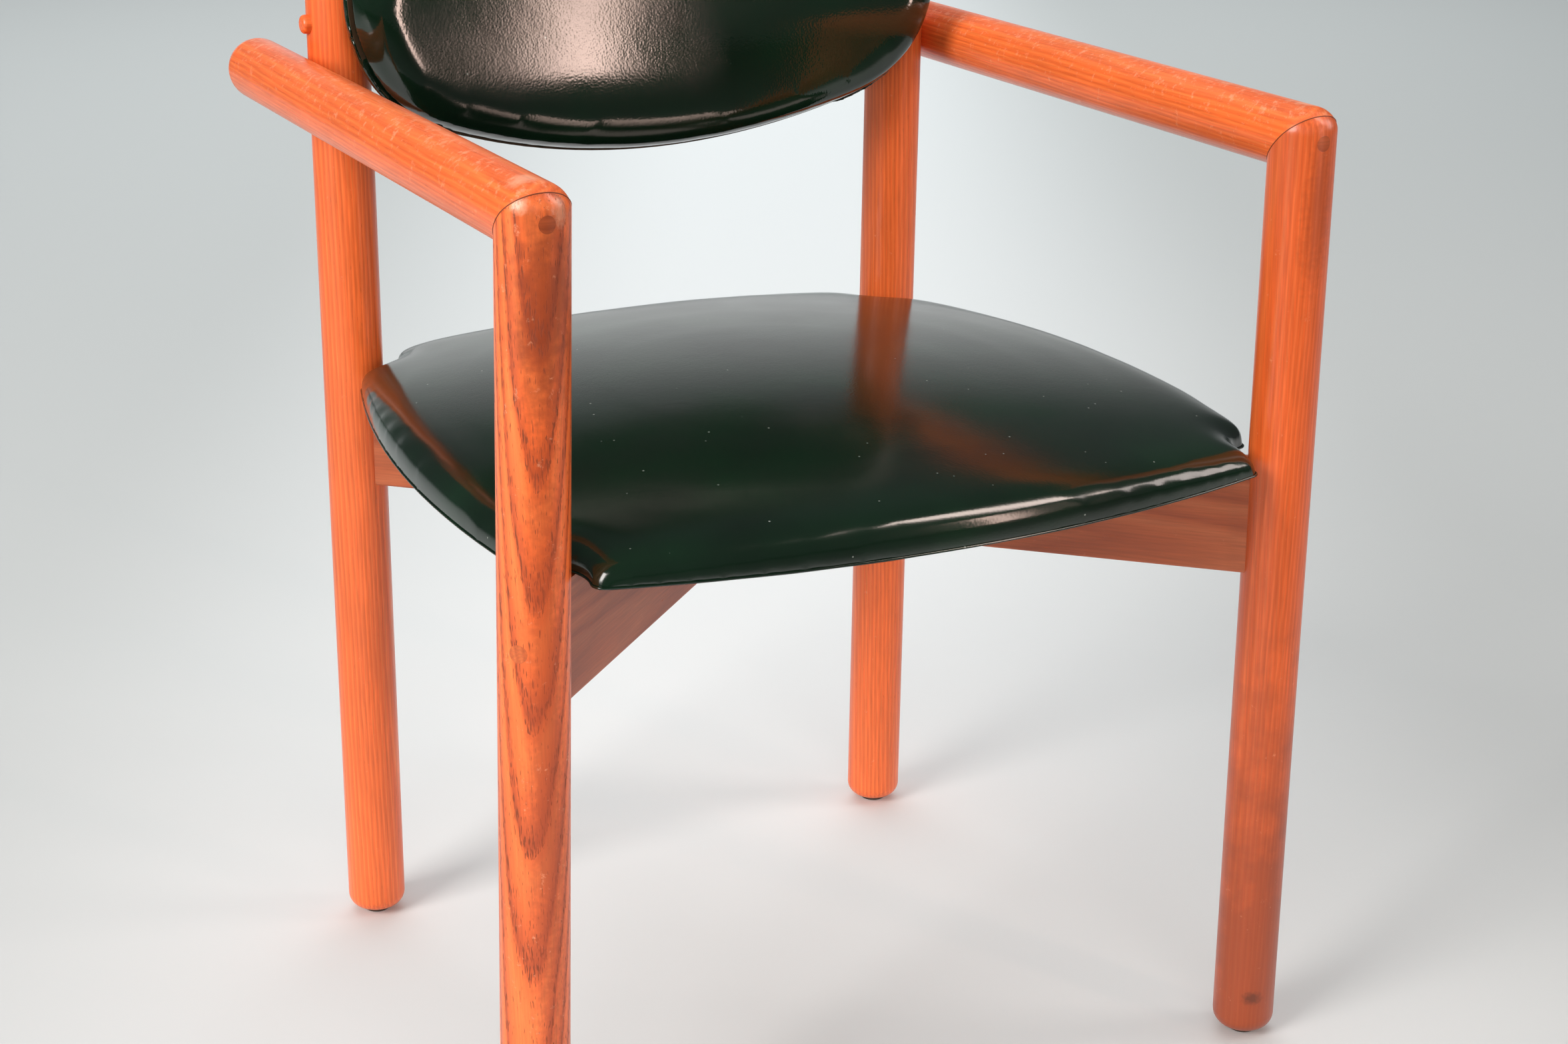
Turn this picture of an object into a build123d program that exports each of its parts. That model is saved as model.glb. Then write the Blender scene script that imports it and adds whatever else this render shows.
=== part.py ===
from build123d import *
from dataclasses import dataclass
from math import cos, hypot, radians, sin, sqrt, tan
import os

os.makedirs("parts", exist_ok=True)


@dataclass(frozen=True)
class Screw:
    """Sizes of a cylinder-head screw or bolt."""

    head_d: float
    head_h: float
    shank_d: float
    length: float


# Timber bars. The sitter faces -Y and the floor is Z = 0.
bar_d = 42.0
arm_height = 635.0
arm_half_span = 258.0
arm_tail = 70.0
arm_lap = 1.6
leg_splay = 1.0
post_setback = 437.5
post_above_pivot = 70.0
mitre_inset = 5.0
bar_end_flat_r = 3.0

# Foot glides
glide_d = 19.0
glide_h = 3.5
glide_margin = 0.5
glide_edge_round = 0.9
glide_nail_d = 3.0
glide_nail_length = 16.0

# Cross rails
rail_h = 75.0
rail_t = 22.0
rail_edge_round = 2.0
rail_screw_drop = 30.0
rail_dowel_rise = 19.0
halving_clearance = 0.1

# Seat
seat_underside = 421.0
seat_crown = 41.0
seat_corner_rise = 8.0
seat_front_bow = 42.2
seat_front_lip = 9.8
seat_tail = 15.0
seat_tail_r = 3300.0
seat_side_overhang = 3.8
seat_side_r = 920.0
seat_widest = 134.0
seat_notch_gap = 10.0
seat_tip_round = 9.0
seat_roll = 8.0
seat_hem_round = 1.2
seat_board_t = 12.0
dust_cover_t = 1.5
dust_cover_inset = 3.0
seat_screw_spread = 150.0
seat_screw_grip = 28.0

# Back
back_overhang = 7.4
back_half_height = 116.0
back_bow = 22.0
back_bend_r = 832.0
back_rise = 14.0
back_behind_posts = 10.5
back_lean = 6.5
back_board_t = 7.0
back_pad_t = 31.0
back_pad_edge_t = 22.0
back_side_flat = 6.0
back_pad_inset = 3.0
back_rim_round = 3.0
welt_t = 2.6
welt_w = 5.0
welt_recess = 5.5
leather_t = 1.4

# Pivot of the back
pivot_rise = 37.0
bolt_d = 8.0
bolt_head_h = 5.0
bolt_head_room = 1.0
bolt_tail = 1.5
button_d = 13.0
button_proud = 4.8
button_depth = 7.0
button_dome = 3.0
spot_face_room = 3.0
spot_face_depth = 1.5
bush_wall = 2.0
bush_flange_w = 3.0
bush_flange_t = 2.0
lug_t = 5.0
lug_eye_wall = 6.0
lug_foot_t = 3.0
lug_foot_w = 36.0
lug_foot_h = 56.0
lug_screw_edge = 10.0
lug_screw_inset = 13.0
washer_d = 16.0
washer_t = 1.6
nut_across_flats = 13.0
nut_h = 6.5

# Fasteners in the timber
plug_depth = 8.0
plug_room = 1.0
dowel_d = 8.0
dowel_length = 40.0
dowel_leg_depth = 14.0
mitre_dowel_d = 6.0
mitre_dowel_length = 24.0
mitre_dowel_offset = 11.0
rail_screw_bite = 42.0
mitre_screw_bite = 32.0
arm_screw_bite = 22.0
seat_screw_bite = 9.0
lug_screw_bite = 5.6
lug_screw_head_h = 2.4

# Clearances
fit_clearance = 0.1
layer_clearance = 0.2
running_clearance = 0.05
side_clearance = 0.15

# Screws, as long as what they pass through and their bite
past_plug = bar_d - plug_depth
seat_grip = seat_screw_grip + dust_cover_t
lug_grip = lug_screw_head_h + lug_foot_t
rail_screw = Screw(head_d=10.0, head_h=5.0, shank_d=7.0, length=past_plug + rail_screw_bite)
mitre_screw = Screw(head_d=9.0, head_h=4.5, shank_d=5.0, length=past_plug + mitre_screw_bite)
arm_screw = Screw(head_d=10.0, head_h=5.0, shank_d=6.0, length=past_plug + arm_screw_bite)
seat_screw = Screw(head_d=9.0, head_h=3.0, shank_d=4.5, length=seat_grip + seat_screw_bite)
lug_screw = Screw(head_d=8.0, head_h=lug_screw_head_h, shank_d=4.0, length=lug_grip + lug_screw_bite)

# Places that follow from the sizes above
bar_r = bar_d / 2
bar_end_round = bar_r - bar_end_flat_r
foot_round = bar_r - glide_d / 2 - glide_margin
arm_reach = post_setback + arm_tail
seat_nose = seat_front_lip + seat_front_bow
front_y = (seat_nose - arm_reach) / 2
rear_y = front_y + post_setback
post_x = arm_half_span - bar_d + arm_lap
pivot_height = arm_height + pivot_rise
post_top = pivot_height + post_above_pivot
rail_top = seat_underside
rail_screw_z = rail_top - rail_screw_drop
rail_dowel_z = rail_top - rail_h + rail_dowel_rise
seat_bottom = seat_underside + dust_cover_t
seat_top = seat_bottom + seat_crown
notch_r = bar_r + seat_notch_gap
back_half_width = post_x + back_overhang
back_end_r = back_half_height - back_bow
back_y = rear_y - bar_r + back_behind_posts
back_centre_height = pivot_height + back_rise
back_roll = back_pad_edge_t - back_side_flat
shell_t = back_board_t + leather_t
reach = 2000.0


def leg_x(height):
    """Distance of a front leg's axis from the middle plane at a height."""
    return arm_half_span + (arm_height - height) * tan(radians(leg_splay))


def arc_radius(half_chord, rise):
    """Radius of the arc that rises a given way over its half chord."""
    return (half_chord**2 + rise**2) / (2 * rise)


def mirrored(shape):
    """The same piece on the other side of the chair."""
    return mirror(shape, about=Plane.YZ)


def rod(diameter, length, place):
    """Round rod whose end face is at the place, running in against its Z axis."""
    return place * Cylinder(diameter / 2, length, align=(Align.CENTER, Align.CENTER, Align.MAX))


def make_screw(size, place):
    """Screw with the top of its head at the place."""
    return rod(size.head_d, size.head_h, place) + rod(size.shank_d, size.length, place)


def screw_bore(size, place):
    """Hole for a sunk screw, with a counterbore that stays open outwards."""
    shank = rod(size.shank_d + 2 * fit_clearance, size.length + fit_clearance, place)
    return shank + rod(size.head_d + plug_room, reach + size.head_h, place.offset(reach))


def make_plug(size, place, bar):
    """Plug on top of a screw head, cut flush with the bar."""
    diameter = size.head_d + plug_room - 2 * running_clearance
    return rod(diameter, bar_d, place.offset(bar_d)) & bar


def save(name, *solids):
    """Writes one node, a single solid or a group of separate solids."""
    shapes = [solid for shape in solids for solid in shape.solids()]
    node = shapes[0] if len(shapes) == 1 else Compound(children=shapes)
    node.label = name
    export_step(node, f"parts/{name}.step")


def mitred_bar(length, end_round=None):
    """Round bar down from a mitre at the origin, with the mitre's outer corner rolled over.

    The roll is the bar's own section turned about an axis across the bar, so that it runs
    smoothly from one bar into the other.
    """
    half_chord = sqrt(bar_r**2 - mitre_inset**2)
    blank = rod(bar_d, length + mitre_inset, Plane((0, 0, mitre_inset)))
    if end_round:
        blank = fillet(blank.edges().group_by(Axis.Z)[0], end_round)
    below_mitre = split(blank, bisect_by=Plane((0, 0, 0), z_dir=(0, 1, 1)), keep=Keep.BOTTOM)
    left, right = (Vector(side * half_chord, -mitre_inset, mitre_inset) for side in (-1, 1))
    arc = ThreePointArc(left, (0, -bar_r, mitre_inset), right)
    section = Face(Wire([arc.edge(), Line(right, left).edge()]))
    roll = revolve(section, axis=Axis(left, (-1, 0, 0)), revolution_arc=45)
    return below_mitre + roll


corner = Pos(arm_half_span, front_y, arm_height) * Rot(0, -leg_splay, 0)
mitre_plane = Plane((0, 0, 0), z_dir=(0, 1, 1))
floor_cut = Plane((0, 0, glide_h))

leg_bar = split(corner * mitred_bar(arm_height + foot_round), bisect_by=floor_cut, keep=Keep.TOP)
leg_bar = fillet(leg_bar.edges().group_by(Axis.Z)[0], foot_round)
arm_bar = corner * mirror(mitred_bar(arm_reach, bar_end_round), about=mitre_plane)
post_bar = rod(bar_d, post_top - glide_h, Plane((post_x, rear_y, post_top)))
post_bar = fillet(post_bar.edges().group_by(Axis.Z)[-1], bar_end_round)
post_bar = fillet(post_bar.edges().group_by(Axis.Z)[0], foot_round)

# Diagonal rails: each runs from a front leg's axis to the opposite post's axis
rail_leg_x = leg_x(rail_screw_z)
crossing_y = front_y + post_setback * rail_leg_x / (rail_leg_x + post_x)
rail_dir = Vector(rail_leg_x + post_x, post_setback, 0).normalized()
to_leg = hypot(rail_leg_x, crossing_y - front_y)
to_post = hypot(post_x, rear_y - crossing_y)


def along_rail(distance, height):
    """Point on the rail that rises to the right, measured from the crossing towards the post."""
    return Vector(0, crossing_y, height) + rail_dir * distance


rail_blank = Plane((0, crossing_y, rail_top - rail_h / 2), x_dir=rail_dir) * (
    Pos((to_post - to_leg) / 2, 0, 0) * Box(to_leg + to_post, rail_t, rail_h)
)
rail_blank = fillet(rail_blank.edges().filter_by(Plane.XY).group_by(Axis.Z)[0], rail_edge_round)
rail_blank = rail_blank - mirrored(leg_bar) - post_bar

leg_fix = Plane(along_rail(-to_leg - bar_r + plug_depth, rail_screw_z), z_dir=-rail_dir)
post_fix = Plane(along_rail(to_post + bar_r - plug_depth, rail_screw_z), z_dir=rail_dir)
leg_dowel_end = Plane(along_rail(-to_leg + bar_r - dowel_leg_depth, rail_dowel_z), z_dir=-rail_dir)
post_dowel_end = Plane(along_rail(to_post - bar_r + dowel_leg_depth, rail_dowel_z), z_dir=rail_dir)
mitre_fix = Plane((arm_half_span, front_y - bar_r + plug_depth, arm_height), z_dir=(0, -1, 0))
arm_fix = Plane((post_x - bar_r + plug_depth, rear_y, arm_height), z_dir=(-1, 0, 0))

half_gap = 2 * halving_clearance
crossing_length = rail_t + bar_d
crossing_blank = Plane((0, crossing_y, 0), x_dir=(rail_dir.X, -rail_dir.Y, 0)) * Box(
    crossing_length, rail_t + half_gap, rail_h + half_gap
)
upper_half = Pos(0, 0, rail_top) * crossing_blank
lower_half = Pos(0, 0, rail_top - rail_h) * crossing_blank

seat_fixes = [
    Plane(along_rail(side * seat_screw_spread, rail_top - seat_screw_grip), z_dir=(0, 0, -1))
    for side in (-1, 1)
]
seat_bores = [screw_bore(seat_screw, place) for place in seat_fixes]

leg_bore = screw_bore(rail_screw, leg_fix)
post_bore = screw_bore(rail_screw, post_fix)
leg_dowel = rod(dowel_d, dowel_length, leg_dowel_end)
post_dowel = rod(dowel_d, dowel_length, post_dowel_end)
rail_drilled = rail_blank - leg_bore - post_bore - leg_dowel - post_dowel - seat_bores
rail_rising_right = rail_drilled - upper_half
rail_rising_left = mirrored(rail_drilled - mirrored(lower_half))

# Mitre of leg and arm: a screw under a plug, and a dowel each side of it
mitre_bore = screw_bore(mitre_screw, mitre_fix)
mitre_dowel = mitre_plane * Cylinder(mitre_dowel_d / 2, mitre_dowel_length)
mitre_dowels = [corner * (Pos(side * mitre_dowel_offset, 0, 0) * mitre_dowel) for side in (-1, 1)]

# Pivot line of the back, from the outer face of the post inwards
bolt_head_x = post_x + bar_r - button_depth
spot_face_x = post_x - bar_r + spot_face_depth
lug_x = spot_face_x - side_clearance - bush_flange_t
washer_x = lug_x - lug_t - side_clearance
nut_x = washer_x - washer_t
bolt_end_x = nut_x - nut_h - bolt_tail
bolt_head_d = button_d - bolt_head_room
pivot_bolt = Screw(bolt_head_d, bolt_head_h, bolt_d, length=bolt_head_x - bolt_end_x)
bush_d = bolt_d + 2 * bush_wall
bush_flange_d = bush_d + 2 * bush_flange_w
spot_face_d = bush_flange_d + spot_face_room
lug_eye_r = bush_d / 2 + lug_eye_wall


def on_pivot(x):
    """Place on the pivot line at a distance from the middle plane, facing outwards."""
    return Plane((x, rear_y, pivot_height), z_dir=(1, 0, 0))


def along_pivot(diameter):
    """Rod right through both posts, to cut holes along the pivot line."""
    return rod(diameter, reach, on_pivot(reach / 2))


button_seat = rod(button_d, reach + bolt_head_h, on_pivot(bolt_head_x + reach))
pivot_bore = along_pivot(bolt_d + 2 * fit_clearance) + button_seat
spot_face = rod(spot_face_d, bar_r, on_pivot(spot_face_x))
button_top = on_pivot(post_x + bar_r + button_proud)
button = rod(button_d - 2 * running_clearance, button_proud + button_depth, button_top)
button = fillet(button.edges().group_by(Axis.X)[-1], button_dome)
hexagon = RegularPolygon(nut_across_flats / 2, 6, major_radius=False)
nut = on_pivot(nut_x) * extrude(hexagon, -nut_h) - along_pivot(bolt_d)
washer = rod(washer_d, washer_t, on_pivot(washer_x)) - along_pivot(bolt_d + 2 * fit_clearance)


def foot_glide(x, y):
    """Round glide with a nail up into the foot."""
    disc = rod(glide_d, glide_h, Plane((x, y, glide_h)))
    disc = fillet(disc.edges().group_by(Axis.Z)[0], glide_edge_round)
    return disc + rod(glide_nail_d, glide_nail_length, Plane((x, y, glide_h + glide_nail_length)))


front_glide = foot_glide(leg_x(glide_h), front_y)
rear_glide = foot_glide(post_x, rear_y)


def nail_bore(x, y):
    """Hole for a glide's nail."""
    depth = glide_nail_length + fit_clearance
    return rod(glide_nail_d + 2 * fit_clearance, depth, Plane((x, y, glide_h + depth)))


arm_bore = screw_bore(arm_screw, arm_fix)
front_leg = leg_bar - mirrored(leg_bore) - mirrored(leg_dowel) - mitre_bore - mitre_dowels
front_leg -= nail_bore(leg_x(glide_h), front_y)
armrest = arm_bar - post_bar - mitre_bore - mitre_dowels - arm_bore
rear_post = post_bar - post_bore - post_dowel - arm_bore - pivot_bore - spot_face
rear_post -= nail_bore(post_x, rear_y)


seat_half_width = leg_x(seat_bottom) + seat_side_overhang
seat_half_depth = (seat_nose + post_setback + seat_tail) / 2
seat_nose_r = arc_radius(leg_x(seat_bottom), seat_front_bow)
seat_dome_r = arc_radius(hypot(seat_half_width, seat_half_depth), seat_crown - seat_corner_rise)


def seat_outline(inset):
    """Seat seen from above: bowed edges, with a round notch at each leg and post."""
    nose = Pos(0, front_y - seat_nose + seat_nose_r) * Circle(seat_nose_r - inset)
    tail = Pos(0, rear_y + seat_tail - seat_tail_r) * Circle(seat_tail_r - inset)
    plan = nose & tail
    for side in (-1, 1):
        side_centre = Pos(side * (seat_half_width - seat_side_r), front_y + seat_widest)
        plan &= side_centre * Circle(seat_side_r - inset)
    for side in (-1, 1):
        for x, y in ((leg_x(seat_bottom), front_y), (post_x, rear_y)):
            plan -= Pos(side * x, y) * Circle(notch_r + inset)
    return fillet(plan.vertices(), seat_tip_round - inset)


dome_centre = (0, front_y - seat_nose + seat_half_depth, seat_top - seat_dome_r)


def seat_form(inset, bottom):
    """Domed cushion a given depth inside the leather's outer face, down to a level."""
    block = Pos(0, 0, bottom) * extrude(seat_outline(inset), seat_top)
    domed = block & (Pos(*dome_centre) * Sphere(seat_dome_r - inset))
    rim = domed.faces().filter_by(GeomType.SPHERE)[0].edges()
    return fillet(rim, seat_roll - inset)


seat_inner = leather_t + layer_clearance
board_pilots = [rod(seat_screw.shank_d, seat_screw.length, place) for place in seat_fixes]
board_pilots += [mirrored(pilot) for pilot in board_pilots]
seat_outer_form = seat_form(0, seat_bottom)
hem = seat_outer_form.edges().group_by(Axis.Z)[0]
seat_cover = fillet(hem, seat_hem_round) - seat_form(leather_t, seat_bottom - seat_crown)
board_top = Plane((0, 0, seat_bottom + seat_board_t))
seat_fill = seat_form(seat_inner, seat_bottom)
seat_board = split(seat_fill, bisect_by=board_top, keep=Keep.BOTTOM) - board_pilots
seat_foam = split(seat_fill, bisect_by=board_top, keep=Keep.TOP)
dust_cover = Pos(0, 0, seat_underside) * extrude(seat_outline(dust_cover_inset), dust_cover_t)
dust_cover -= board_pilots

# Back, upright about its own middle; the bend's axis is in front of the sitter's side
back_place = Pos(0, back_y, back_centre_height) * Rot(-back_lean, 0, 0)
bend_centre = Pos(0, -back_bend_r, 0)


def back_outline():
    """Oval of four arcs that run into each other."""
    end_centre = back_half_width - back_end_r
    rise = back_half_height - back_end_r
    drop = (end_centre**2 - rise**2) / (2 * rise)
    long_r = back_half_height + drop
    scale = long_r / hypot(end_centre, drop)
    x, z = end_centre * scale, drop * scale - drop
    arcs = [
        ThreePointArc((-x, z), (0, back_half_height), (x, z)),
        ThreePointArc((x, z), (back_half_width, 0), (x, -z)),
        ThreePointArc((x, -z), (0, -back_half_height), (-x, -z)),
        ThreePointArc((-x, -z), (-back_half_width, 0), (-x, z)),
    ]
    return Face(Wire([arc.edge() for arc in arcs]))


def back_block(inset):
    """Oval block right through the back, a given depth inside its outline."""
    face = offset(back_outline(), -inset) if inset else back_outline()
    return Plane.XZ * extrude(face, back_half_height, both=True)


def bent_layer(near, far):
    """Layer of the bend between two depths behind the seam of cushion and shell."""
    height = 2 * back_half_width
    core = Cylinder(back_bend_r + near, height)
    return bend_centre * (Cylinder(back_bend_r + far, height) - core)


def cushion_front(inset):
    """Body in front of the cushion, whose face crowns the cushion both ways."""
    fall = back_pad_t - back_pad_edge_t
    rear_sag = back_bend_r - sqrt(back_bend_r**2 - back_half_width**2)
    sag = rear_sag - fall
    radius = arc_radius(back_half_width, sag)
    ends = back_half_height * 2
    end_fall = fall * (ends / back_half_height) ** 2
    face_arc = ThreePointArc((radius + end_fall, -ends), (radius, 0), (radius + end_fall, ends))
    sides = Polyline((radius + end_fall, ends), (0, ends), (0, -ends), (radius + end_fall, -ends))
    profile = Plane.XZ * Face(Wire([face_arc.edge(), *sides.edges()]))
    centre_y = -welt_t - back_pad_t - radius + inset
    return Pos(0, centre_y, 0) * revolve(profile, axis=Axis.Z)


def cushion_form(inset, rear):
    """Crowned front cushion a given depth inside the leather's outer face."""
    within_rear = bend_centre * Cylinder(back_bend_r + rear, 2 * back_half_width)
    blank = (back_block(back_pad_inset + inset) & within_rear) - cushion_front(inset)
    crown = blank.faces().filter_by(GeomType.TORUS)[0]
    return fillet(crown.edges(), back_roll - inset)


pivot_dy = rear_y - back_y
pivot_dz = pivot_height - back_centre_height
lean_cos, lean_sin = cos(radians(back_lean)), sin(radians(back_lean))
eye = (pivot_dy * lean_cos - pivot_dz * lean_sin, pivot_dy * lean_sin + pivot_dz * lean_cos)
shell_r = back_bend_r + shell_t


def on_shell(x, z, height):
    """Place over the shell's rear face, facing away from it."""
    radial = Vector(x, sqrt(shell_r**2 - x**2), 0).normalized()
    return Plane(Vector(0, -back_bend_r, z) + radial * (shell_r + height), z_dir=radial)


def pivot_lug():
    """Curved foot on the shell and a web out to the eye."""
    foot_x = lug_x - lug_foot_w / 2
    foot = bent_layer(shell_t, shell_t + lug_foot_t) & (
        Pos(foot_x, 0, eye[1]) * Box(lug_foot_w, back_half_width, lug_foot_h)
    )
    root_y = -back_bend_r + sqrt(shell_r**2 - lug_x**2)
    root = Pos(root_y, eye[1]) * Rectangle(2 * lug_foot_t, lug_foot_h - 2 * lug_eye_r)
    web_face = make_hull((Pos(*eye) * Circle(lug_eye_r)).edges() + root.edges())
    web = Plane((lug_x, 0, 0), x_dir=(0, 1, 0), z_dir=(1, 0, 0)) * extrude(web_face, -lug_t)
    web -= bend_centre * Cylinder(shell_r, 2 * back_half_width)
    return foot + web


lug_fix_x = lug_x - lug_t - lug_screw_inset
lug_fix_z = lug_foot_h / 2 - lug_screw_edge
lug_fixes = [on_shell(lug_fix_x, eye[1] + side * lug_fix_z, lug_grip) for side in (-1, 1)]
lug_screws = [make_screw(lug_screw, place) for place in lug_fixes]
lug_pilots = [rod(lug_screw.shank_d, lug_screw.length, place) for place in lug_fixes]
both_pilots = lug_pilots + [mirrored(pilot) for pilot in lug_pilots]

rear_shell = back_block(0) & bent_layer(0, shell_t)
rear_shell = fillet(rear_shell.faces().sort_by(Axis.Y)[-1].edges(), back_rim_round)
rear_cover = rear_shell - (back_block(leather_t) & bent_layer(-welt_t, back_board_t)) - both_pilots
board_inset = leather_t + layer_clearance
back_board = (back_block(board_inset) & bent_layer(0, back_board_t)) - both_pilots
welt_inner = welt_recess + welt_w
back_welt = (back_block(welt_recess) - back_block(welt_inner)) & bent_layer(-welt_t, 0)
back_cover = cushion_form(0, -welt_t) - cushion_form(leather_t, 0)
back_foam = cushion_form(board_inset, -welt_t)
back_foam += back_block(welt_inner + layer_clearance) & bent_layer(-welt_t, 0)

lug = back_place * (pivot_lug() - lug_pilots) - along_pivot(bush_d)
bush = rod(bush_flange_d, bush_flange_t, on_pivot(lug_x + bush_flange_t))
bush = bush + rod(bush_d, lug_t, on_pivot(lug_x)) - along_pivot(bolt_d + 2 * running_clearance)


def save_pair(name, shape):
    """Writes the right-hand piece and its mirror image as two nodes."""
    save(f"{name}_right", shape)
    save(f"{name}_left", mirrored(shape))


def save_set(name, *shapes):
    """Writes right-hand pieces and their mirror images as one node."""
    save(name, *shapes, *(mirrored(shape) for shape in shapes))


save_pair("front_leg", front_leg)
save_pair("rear_post", rear_post)
save_pair("armrest", armrest)
save("cross_rail_lower", rail_rising_right)
save("cross_rail_upper", rail_rising_left)
save_set("foot_glides", front_glide, rear_glide)
save_set("rail_screws", make_screw(rail_screw, leg_fix), make_screw(rail_screw, post_fix))
save_set("rail_dowels", leg_dowel, post_dowel)
leg_plug = make_plug(rail_screw, leg_fix, mirrored(leg_bar))
save_set("rail_plugs", leg_plug, make_plug(rail_screw, post_fix, post_bar))
save_set("mitre_screws", make_screw(mitre_screw, mitre_fix))
save_set("mitre_dowels", *mitre_dowels)
save_set("mitre_plugs", make_plug(mitre_screw, mitre_fix, leg_bar))
save_set("arm_screws", make_screw(arm_screw, arm_fix))
save_set("arm_plugs", make_plug(arm_screw, arm_fix, post_bar))
save("seat_cover", seat_cover)
save("seat_foam", seat_foam)
save("seat_board", seat_board)
save("seat_dust_cover", dust_cover)
save_set("seat_screws", *(make_screw(seat_screw, place) for place in seat_fixes))
save("back_cover", back_place * back_cover)
save("back_foam", back_place * back_foam)
save("back_board", back_place * back_board)
save("back_rear_cover", back_place * rear_cover)
save("back_welt", back_place * back_welt)
save_set("pivot_lugs", lug)
save_set("lug_screws", *(back_place * screw for screw in lug_screws))
save_set("pivot_bushes", bush)
save_set("pivot_bolts", make_screw(pivot_bolt, on_pivot(bolt_head_x)))
save_set("pivot_washers", washer)
save_set("pivot_nuts", nut)
save_set("pivot_buttons", button)
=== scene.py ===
"""Studio scene of an open-arm timber chair with a leather seat and an oval leather back."""

import logging
import math
from dataclasses import dataclass
from enum import Enum
from typing import Any, Callable

import bmesh
import bpy
import numpy as np
from mathutils import Euler, Matrix, Vector, noise
from mathutils.bvhtree import BVHTree
from mathutils.kdtree import KDTree


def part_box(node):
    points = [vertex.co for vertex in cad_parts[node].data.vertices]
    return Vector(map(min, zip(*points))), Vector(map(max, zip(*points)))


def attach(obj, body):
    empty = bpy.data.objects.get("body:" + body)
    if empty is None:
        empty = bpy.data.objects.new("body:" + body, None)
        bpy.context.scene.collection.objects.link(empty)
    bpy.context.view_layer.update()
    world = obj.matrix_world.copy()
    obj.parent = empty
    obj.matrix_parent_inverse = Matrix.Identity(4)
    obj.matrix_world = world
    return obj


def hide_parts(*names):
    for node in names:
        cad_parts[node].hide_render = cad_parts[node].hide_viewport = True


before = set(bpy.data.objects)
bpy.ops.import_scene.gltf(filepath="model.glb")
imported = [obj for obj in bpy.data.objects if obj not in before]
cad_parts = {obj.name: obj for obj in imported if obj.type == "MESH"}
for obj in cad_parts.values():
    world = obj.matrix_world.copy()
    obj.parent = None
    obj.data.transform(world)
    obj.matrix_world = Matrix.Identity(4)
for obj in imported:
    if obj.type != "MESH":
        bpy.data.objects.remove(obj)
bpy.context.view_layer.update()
MM = 0.001
LOG = logging.getLogger("chair")
# A wave texture's rings lie a twentieth of a full turn apart at a scale of one.
WAVE_SPACING = math.tau / 20
# CAD points nearer to each other than this are one point.
WELD_MM = 0.002
# A move shorter than this, in metres, counts as none.
STILL_M = 1e-9
# Faces that turn by more than this part the outer face of a shell from its rim.
SHARP_DEG = 60.0
# A flat face looks the way it should to within this cosine.
FLAT_MATCH = 0.995

Tree = bpy.types.NodeTree
Socket = bpy.types.NodeSocket
Material = bpy.types.Material
Mesh = bpy.types.Mesh
Piece = bpy.types.Object
Colour = tuple[float, float, float, float]
Span = tuple[float, float]
UNIT: Span = (0.0, 1.0)
PointTest = Callable[[Vector], bool]


def linear(colour: str) -> Colour:
    """Turns an sRGB hex colour into linear light.

    Args:
        colour: The colour as "#RRGGBB".

    Returns:
        Red, green, blue and an alpha of one.
    """
    channels = [int(colour[i : i + 2], 16) / 255 for i in (1, 3, 5)]
    light = [c / 12.92 if c <= 0.04045 else ((c + 0.055) / 1.055) ** 2.4 for c in channels]
    return (light[0], light[1], light[2], 1.0)


def per_mm(size: float) -> float:
    """Texture scale, in turns per metre, of a pattern with parts a size in millimetres apart."""
    return 1.0 / (size * MM)


def set_inputs(tree: Tree, node: bpy.types.Node, inputs: dict[str | int, Any]) -> None:
    """Sets inputs of a node.

    Args:
        tree: The node tree that holds it.
        node: The node.
        inputs: A value or an output socket for each named or numbered input.
    """
    for name, value in inputs.items():
        if isinstance(value, Socket):
            tree.links.new(value, node.inputs[name])
        else:
            node.inputs[name].default_value = value


def add_node(
    tree: Tree, kind: str, inputs: dict[str | int, Any], output: str | int = 0, **settings: Any
) -> Socket:
    """Adds one shader node.

    Args:
        tree: The node tree that takes it.
        kind: The node's type, without its prefix.
        inputs: A value or an output socket for each named or numbered input.
        output: Which of its outputs is wanted.
        settings: The node's own properties.

    Returns:
        The wanted output.
    """
    node = tree.nodes.new(f"ShaderNode{kind}")
    for name, value in settings.items():
        setattr(node, name, value)
    set_inputs(tree, node, inputs)
    return node.outputs[output]


def coordinate(tree: Tree, kind: str) -> Socket:
    """Gives the point's place or direction, by the name of a texture coordinate."""
    return add_node(tree, "TexCoord", {}, kind)


def reckoned(tree: Tree, operation: str, *values: Socket | float) -> Socket:
    """Reckons with numbers, by the name of an operation."""
    return add_node(tree, "Math", dict(enumerate(values)), operation=operation)


def mixed(tree: Tree, share: Socket, first: Socket | Colour, second: Socket | Colour) -> Socket:
    """Mixes two colours, from all of the first at a share of nought to all of the second at one."""
    return add_node(tree, "Mix", {0: share, 6: first, 7: second}, 2, data_type="RGBA")


def stretched(tree: Tree, along: Socket, share: float) -> Socket:
    """Draws a pattern out along X, to one over a share of its length."""
    return add_node(tree, "Mapping", {"Vector": along, "Scale": (share, 1, 1)})


def mapped(
    tree: Tree, value: Socket, source: Span = UNIT, result: Span = UNIT, kind: str = "LINEAR"
) -> Socket:
    """Maps a number from one span to another, by a kind of curve, and holds it at the ends."""
    ends = dict(zip(("From Min", "From Max", "To Min", "To Max"), (*source, *result)))
    return add_node(tree, "MapRange", {"Value": value, **ends}, interpolation_type=kind)


def noise_at(tree: Tree, place: Socket, part_mm: float, **more: float) -> Socket:
    """Draws soft noise with parts a size in millimetres apart; more gives further inputs."""
    return add_node(tree, "TexNoise", {"Vector": place, "Scale": per_mm(part_mm), **more})


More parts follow.
